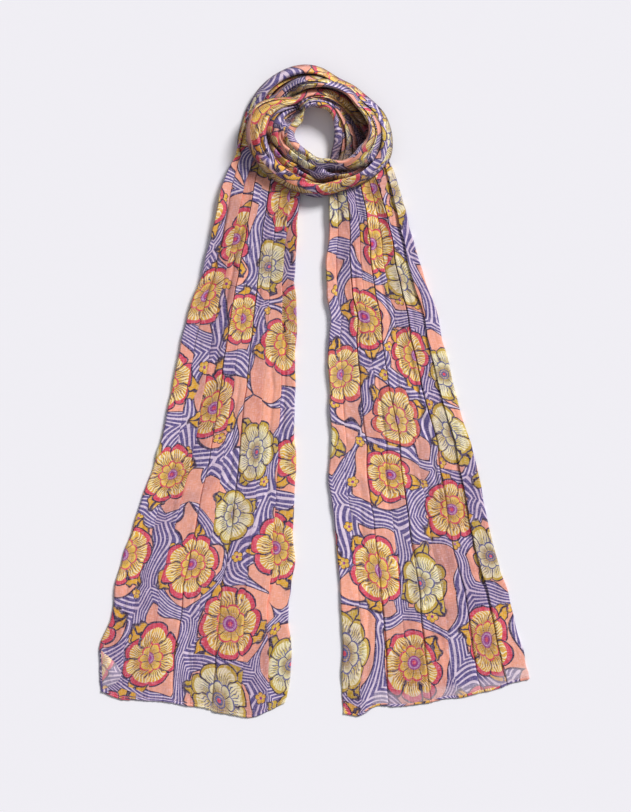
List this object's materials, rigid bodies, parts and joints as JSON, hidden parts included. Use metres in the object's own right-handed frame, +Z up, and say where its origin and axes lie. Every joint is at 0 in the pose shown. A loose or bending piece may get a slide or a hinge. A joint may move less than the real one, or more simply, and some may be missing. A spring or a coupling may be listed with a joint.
{
  "type": "cotton voile scarf laid flat",
  "caption": "Long pleated cotton voile scarf laid flat, wound into a neck loop with both ends spread out below it.",
  "frame": {"origin": "on the surface the scarf lies on, under the middle of its box", "axes": "+Y from the two hems to the neck loop, +X to the right as seen from above, +Z up from the surface"},
  "size_m": [0.518, 0.7808, 0.0348],
  "materials": {
    "printed_voile": "thin printed cotton voile, matt with a slight sheen"
  },
  "bodies": {
    "root": {"left_end": "printed_voile", "right_end": "printed_voile", "loop_outer_course": "printed_voile", "loop_front_course": "printed_voile", "loop_inner_course": "printed_voile"}
  },
  "joints": []
}
